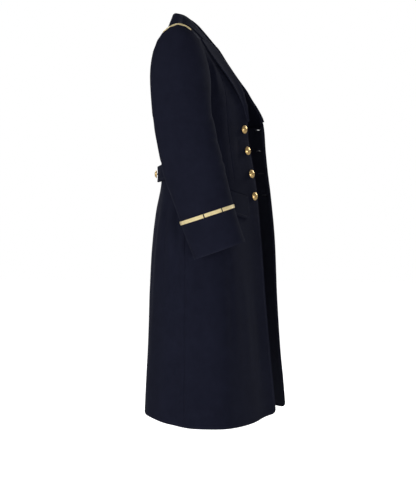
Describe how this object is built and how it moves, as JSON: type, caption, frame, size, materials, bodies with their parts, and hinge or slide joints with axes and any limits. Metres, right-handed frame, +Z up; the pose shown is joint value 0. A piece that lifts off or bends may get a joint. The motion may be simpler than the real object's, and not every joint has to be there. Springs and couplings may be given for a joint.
{
  "type": "sailor coat",
  "caption": "Long dark navy wool uniform coat worn open, with notched lapels, set-in sleeves, gold braid at cuffs and shoulders, domed buttons, pocket flaps and a half belt.",
  "frame": {"origin": "neck point at the middle of the neck, where the coat hangs from the wearer's neck and shoulders", "axes": "+Z up the wearer's body, -Y the way the wearer faces, -X towards the wearer's right arm"},
  "size_m": [0.626, 0.3882, 1.1189],
  "materials": {
    "navy_wool": "matte melton wool",
    "gold_braid": "satin woven metallic braid",
    "gold_metal": "polished gilt"
  },
  "bodies": {
    "root": {"back_right": "navy_wool", "back_left": "navy_wool", "front_right": "navy_wool", "front_left": "navy_wool", "upper_sleeve_right": "navy_wool", "upper_sleeve_left": "navy_wool", "under_sleeve_right": "navy_wool", "under_sleeve_left": "navy_wool", "lapel_right": "navy_wool", "lapel_left": "navy_wool", "pocket_flap_right": "navy_wool", "pocket_flap_left": "navy_wool", "collar": "navy_wool", "facing_left": "navy_wool", "half_belt": "navy_wool", "cuff_braid_outer_right": "gold_braid", "cuff_braid_outer_left": "gold_braid", "cuff_braid_round_right": "gold_braid", "cuff_braid_round_left": "gold_braid", "shoulder_braid_right": "gold_braid", "shoulder_braid_left": "gold_braid", "button_front_1": "gold_metal", "button_front_2": "gold_metal", "button_front_3": "gold_metal", "button_front_4": "gold_metal", "button_belt_right": "gold_metal", "button_belt_left": "gold_metal"}
  },
  "joints": []
}
